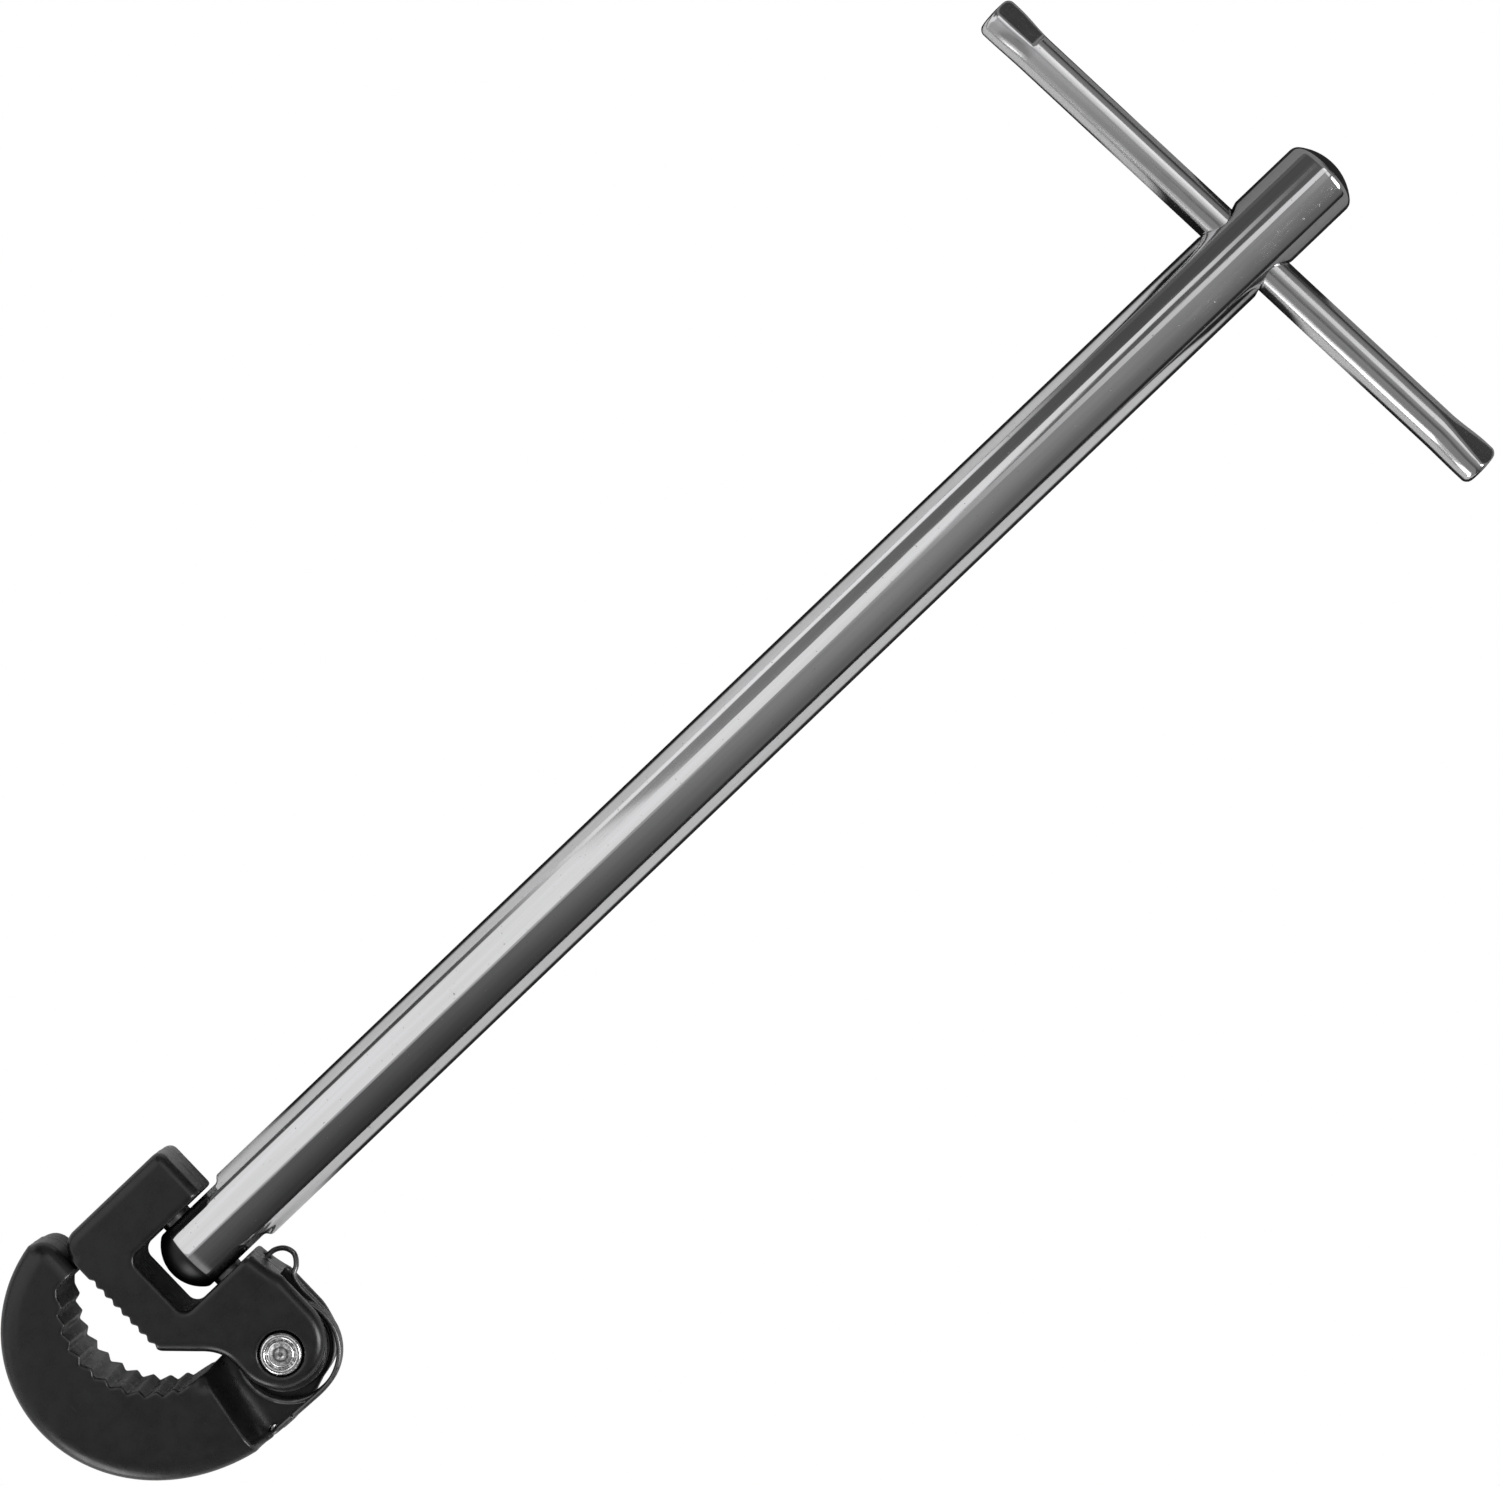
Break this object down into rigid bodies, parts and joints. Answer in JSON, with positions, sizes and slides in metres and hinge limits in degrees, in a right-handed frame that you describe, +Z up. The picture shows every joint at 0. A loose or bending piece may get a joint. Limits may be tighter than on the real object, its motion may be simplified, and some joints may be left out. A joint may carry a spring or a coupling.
{
  "type": "basin wrench",
  "caption": "Long plumber's wrench: chromed bar with a sliding T-bar handle and a tilting black head whose spring-loaded toothed hook jaw grips nuts behind a basin.",
  "frame": {"origin": "on the surface the tool lies on, below the middle of its length and width", "axes": "+Y along the shaft from the head to the T-bar, +Z up through the tool's thickness, +X across, towards the side that the hook jaw is riveted on"},
  "size_m": [0.1036, 0.279, 0.0127],
  "materials": {
    "shaft_chrome": "polished chrome plate with fine lengthwise draw marks",
    "bar_chrome": "bright chrome plate, slightly duller than the shaft",
    "black_coat": "satin black coating over forged steel, worn lighter on the edges",
    "pin_steel": "dark oiled steel",
    "rivet_steel": "bare formed steel with ring marks from the riveting tool",
    "spring_steel": "blued spring wire"
  },
  "bodies": {
    "handle": {"shaft": "shaft_chrome"},
    "sliding_bar": {"t_bar": "bar_chrome"},
    "head": {"jaw_body": "black_coat", "pivot_pin": "pin_steel", "rivet": "rivet_steel", "torsion_spring": "spring_steel"},
    "hook": {"hook_jaw": "black_coat"}
  },
  "joints": [
    {"name": "t_bar_slide", "type": "slide", "parent": "handle", "child": "sliding_bar", "axis": [0.9982, 0.0593, 0], "range_m": [-0.0338, 0.0372]},
    {"name": "head_tilt", "type": "hinge", "parent": "handle", "child": "head", "pos_m": [0.0017, -0.1027, 0.00635], "axis": [1, 0, 0], "range_deg": [-90, 90]},
    {"name": "hook_pivot", "type": "hinge", "parent": "head", "child": "hook", "pos_m": [0.0221, -0.1041, 0.00635], "axis": [0, 0, 1], "range_deg": [0, 60], "stiffness_Nm_per_rad": 0.044, "springref_deg": -40.11, "deforming": ["torsion_spring"]}
  ]
}
